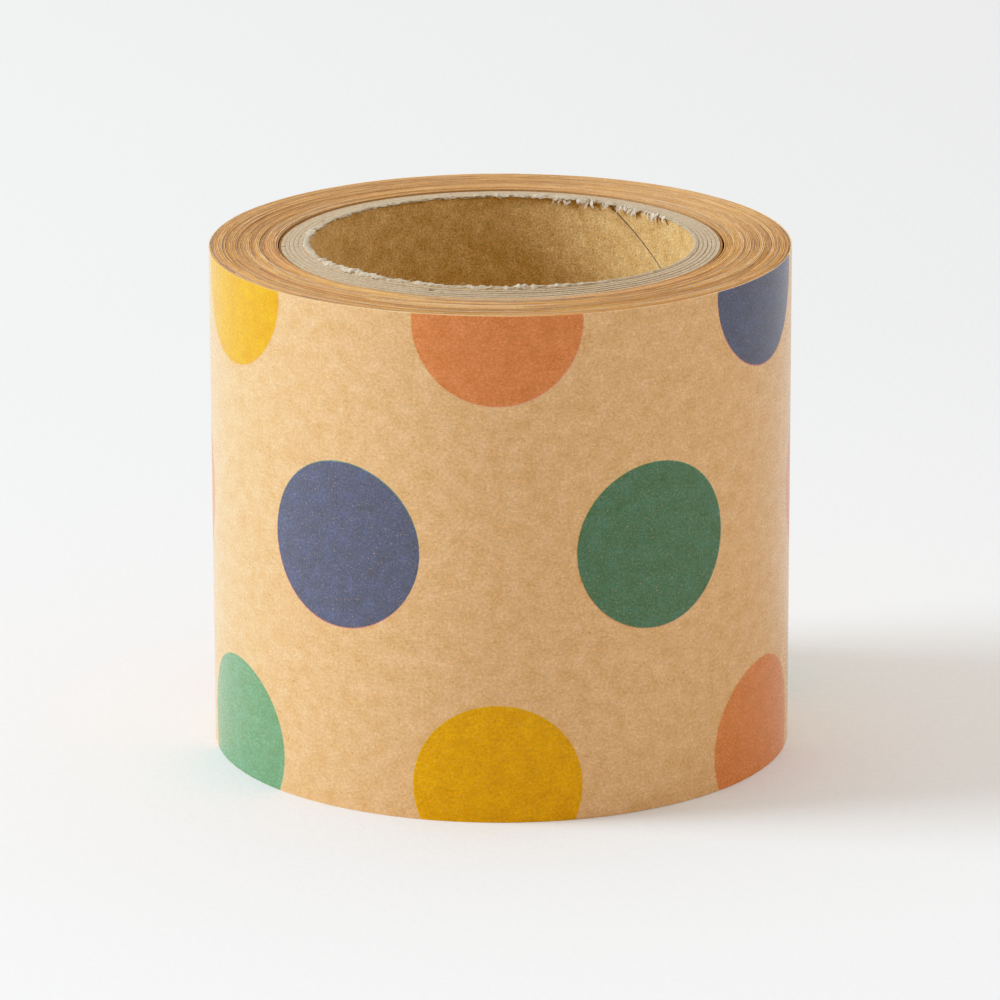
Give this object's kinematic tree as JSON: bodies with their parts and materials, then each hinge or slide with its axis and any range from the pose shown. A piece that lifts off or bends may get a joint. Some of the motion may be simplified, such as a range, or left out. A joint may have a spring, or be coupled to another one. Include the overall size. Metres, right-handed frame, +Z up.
{
  "type": "printed kraft wrapping tape roll",
  "caption": "Short roll of printed kraft paper wrapping tape on a paperboard core, with a loose end that peels up.",
  "frame": {"origin": "on the roll's axis, at the centre of the end face that it stands on", "axes": "+Z up along the roll's axis, -Y towards the front with the lower middle dot, +X to the right seen from the front; the loose end is at the back, on the +Y side"},
  "size_m": [0.0567, 0.0568, 0.05],
  "materials": {
    "printed_kraft_paper": "semi-gloss kraft paper printed with large dots",
    "tape_layer_edges": "slit edges of many wound paper layers",
    "core_liner_board": "matt brown paperboard",
    "core_grey_board": "matt grey-brown paperboard, slit edges showing",
    "core_wrap_paper": "matt brown kraft paper"
  },
  "bodies": {
    "roll": {"core_liner": "core_liner_board", "core_ply_01": "core_grey_board", "core_ply_02": "core_grey_board", "core_ply_03": "core_grey_board", "core_ply_04": "core_grey_board", "core_ply_05": "core_grey_board", "core_wrap": "core_wrap_paper", "wound_pack": "tape_layer_edges", "outer_turn": "printed_kraft_paper"},
    "lead_01": {"lead_01": "printed_kraft_paper"},
    "lead_02": {"lead_02": "printed_kraft_paper"},
    "lead_03": {"lead_03": "printed_kraft_paper"},
    "lead_04": {"lead_04": "printed_kraft_paper"},
    "lead_05": {"lead_05": "printed_kraft_paper"},
    "lead_06": {"lead_06": "printed_kraft_paper"},
    "lead_07": {"lead_07": "printed_kraft_paper"},
    "lead_08": {"lead_08": "printed_kraft_paper"},
    "lead_09": {"lead_09": "printed_kraft_paper"},
    "lead_10": {"lead_10": "printed_kraft_paper"},
    "lead_11": {"lead_11": "printed_kraft_paper"},
    "lead_12": {"lead_12": "printed_kraft_paper"}
  },
  "joints": [
    {"name": "lead_lift", "type": "hinge", "parent": "roll", "child": "lead_01", "pos_m": [-0.02839, 0.00199, 0.025], "axis": [0, 0, 1], "range_deg": [0, 90]},
    {"name": "lead_uncurl_02", "type": "hinge", "parent": "lead_01", "child": "lead_02", "pos_m": [-0.02789, 0.00567, 0.025], "axis": [0, 0, 1], "range_deg": [0, 7.5]},
    {"name": "lead_uncurl_03", "type": "hinge", "parent": "lead_02", "child": "lead_03", "pos_m": [-0.02691, 0.00927, 0.025], "axis": [0, 0, 1], "range_deg": [0, 7.5]},
    {"name": "lead_uncurl_04", "type": "hinge", "parent": "lead_03", "child": "lead_04", "pos_m": [-0.02548, 0.0127, 0.025], "axis": [0, 0, 1], "range_deg": [0, 7.5]},
    {"name": "lead_uncurl_05", "type": "hinge", "parent": "lead_04", "child": "lead_05", "pos_m": [-0.0236, 0.01592, 0.025], "axis": [0, 0, 1], "range_deg": [0, 7.5]},
    {"name": "lead_uncurl_06", "type": "hinge", "parent": "lead_05", "child": "lead_06", "pos_m": [-0.02133, 0.01887, 0.025], "axis": [0, 0, 1], "range_deg": [0, 7.5]},
    {"name": "lead_uncurl_07", "type": "hinge", "parent": "lead_06", "child": "lead_07", "pos_m": [-0.01868, 0.02149, 0.025], "axis": [0, 0, 1], "range_deg": [0, 7.5]},
    {"name": "lead_uncurl_08", "type": "hinge", "parent": "lead_07", "child": "lead_08", "pos_m": [-0.01572, 0.02375, 0.025], "axis": [0, 0, 1], "range_deg": [0, 7.5]},
    {"name": "lead_uncurl_09", "type": "hinge", "parent": "lead_08", "child": "lead_09", "pos_m": [-0.01249, 0.0256, 0.025], "axis": [0, 0, 1], "range_deg": [0, 7.5]},
    {"name": "lead_uncurl_10", "type": "hinge", "parent": "lead_09", "child": "lead_10", "pos_m": [-0.00904, 0.02702, 0.025], "axis": [0, 0, 1], "range_deg": [0, 7.5]},
    {"name": "lead_uncurl_11", "type": "hinge", "parent": "lead_10", "child": "lead_11", "pos_m": [-0.00544, 0.02797, 0.025], "axis": [0, 0, 1], "range_deg": [0, 7.5]},
    {"name": "lead_uncurl_12", "type": "hinge", "parent": "lead_11", "child": "lead_12", "pos_m": [-0.00174, 0.02844, 0.025], "axis": [0, 0, 1], "range_deg": [0, 7.5]}
  ],
  "couplings": [
    {"joint": "lead_uncurl_02", "follows": "lead_lift", "ratio": 0.083333},
    {"joint": "lead_uncurl_03", "follows": "lead_lift", "ratio": 0.083333},
    {"joint": "lead_uncurl_04", "follows": "lead_lift", "ratio": 0.083333},
    {"joint": "lead_uncurl_05", "follows": "lead_lift", "ratio": 0.083333},
    {"joint": "lead_uncurl_06", "follows": "lead_lift", "ratio": 0.083333},
    {"joint": "lead_uncurl_07", "follows": "lead_lift", "ratio": 0.083333},
    {"joint": "lead_uncurl_08", "follows": "lead_lift", "ratio": 0.083333},
    {"joint": "lead_uncurl_09", "follows": "lead_lift", "ratio": 0.083333},
    {"joint": "lead_uncurl_10", "follows": "lead_lift", "ratio": 0.083333},
    {"joint": "lead_uncurl_11", "follows": "lead_lift", "ratio": 0.083333},
    {"joint": "lead_uncurl_12", "follows": "lead_lift", "ratio": 0.083333}
  ]
}
